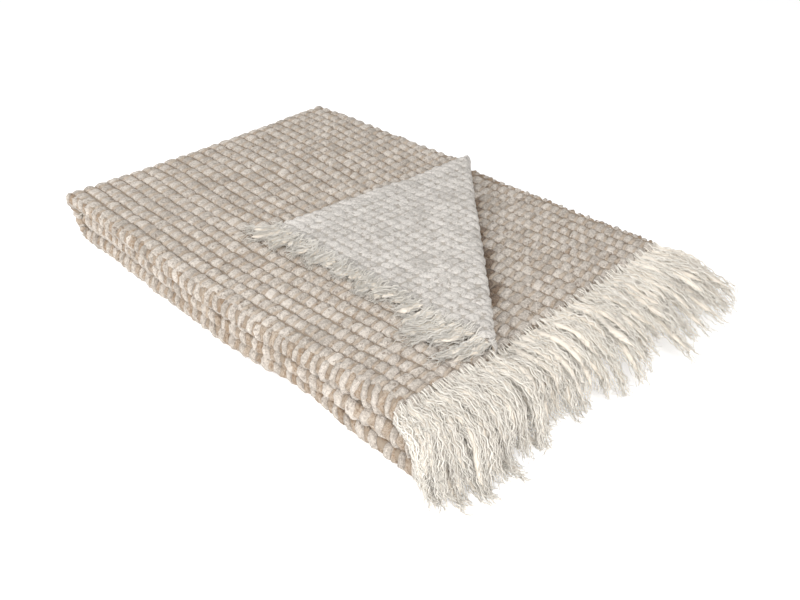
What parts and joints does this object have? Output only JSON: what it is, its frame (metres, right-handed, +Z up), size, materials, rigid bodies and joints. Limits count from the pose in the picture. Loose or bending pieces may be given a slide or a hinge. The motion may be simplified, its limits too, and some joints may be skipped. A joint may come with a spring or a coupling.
{
  "type": "folded throw blanket",
  "caption": "Chunky woven throw blanket with fringed ends, folded in thirds both ways with one corner of its top layer turned back.",
  "frame": {"origin": "middle of the bounding box at the floor", "axes": "+Z up, +X from the rounded end to the fringed end, +Y from the side of three rounded folds to the far long side"},
  "size_m": [0.7287, 0.4446, 0.0822],
  "materials": {
    "weave": "chunky woven wool blend, beige and cream",
    "ivory_yarn": "soft unspun ivory yarn"
  },
  "bodies": {
    "root": {"cloth": "weave", "fringe_top": "ivory_yarn", "fringe_upper": "ivory_yarn", "fringe_lower": "ivory_yarn", "fringe_flap": "ivory_yarn", "inner_fringe_top": "ivory_yarn", "inner_fringe_upper": "ivory_yarn", "inner_fringe_lower": "ivory_yarn"}
  },
  "joints": []
}
